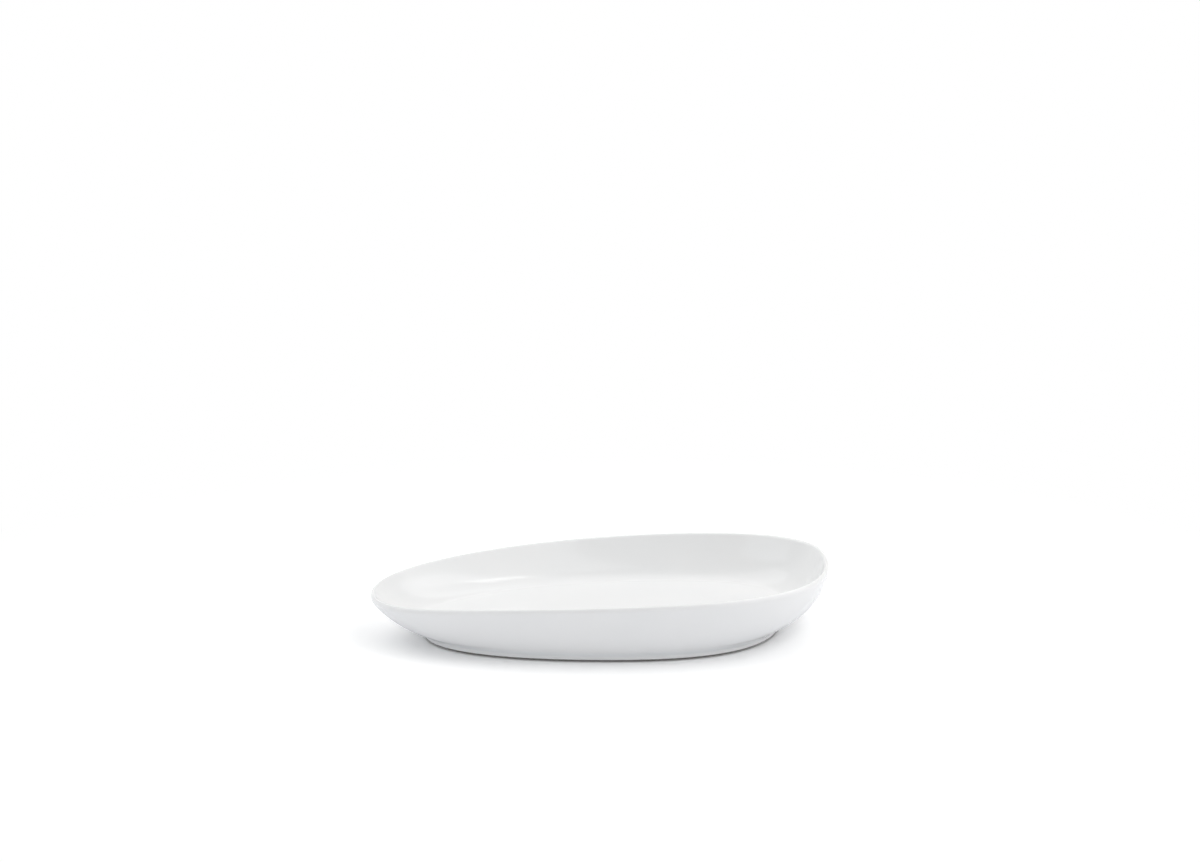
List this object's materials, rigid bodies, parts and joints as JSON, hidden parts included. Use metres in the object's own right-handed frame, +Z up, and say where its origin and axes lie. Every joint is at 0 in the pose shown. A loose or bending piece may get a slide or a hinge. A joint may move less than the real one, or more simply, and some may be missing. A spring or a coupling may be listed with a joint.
{
  "type": "oval plate",
  "caption": "Deep pebble-shaped oval plate in white glazed porcelain, with a flat well, a curved wall whose rim climbs towards the broad end, and a low foot ring to stand on.",
  "frame": {"origin": "on the table, under the middle of the plate's outline", "axes": "+X along the plate to its broad, high end, +Y across it to the side with the long shoulder, +Z up"},
  "size_m": [0.28, 0.17, 0.039],
  "materials": {
    "bare_porcelain": "unglazed, fine matt biscuit",
    "white_glaze": "gloss white glaze",
    "underside_white_glaze": "gloss white glaze, slightly uneven"
  },
  "bodies": {
    "root": {"porcelain_body": "bare_porcelain", "glaze_coat": "white_glaze", "underside_glaze": "underside_white_glaze"}
  },
  "joints": []
}
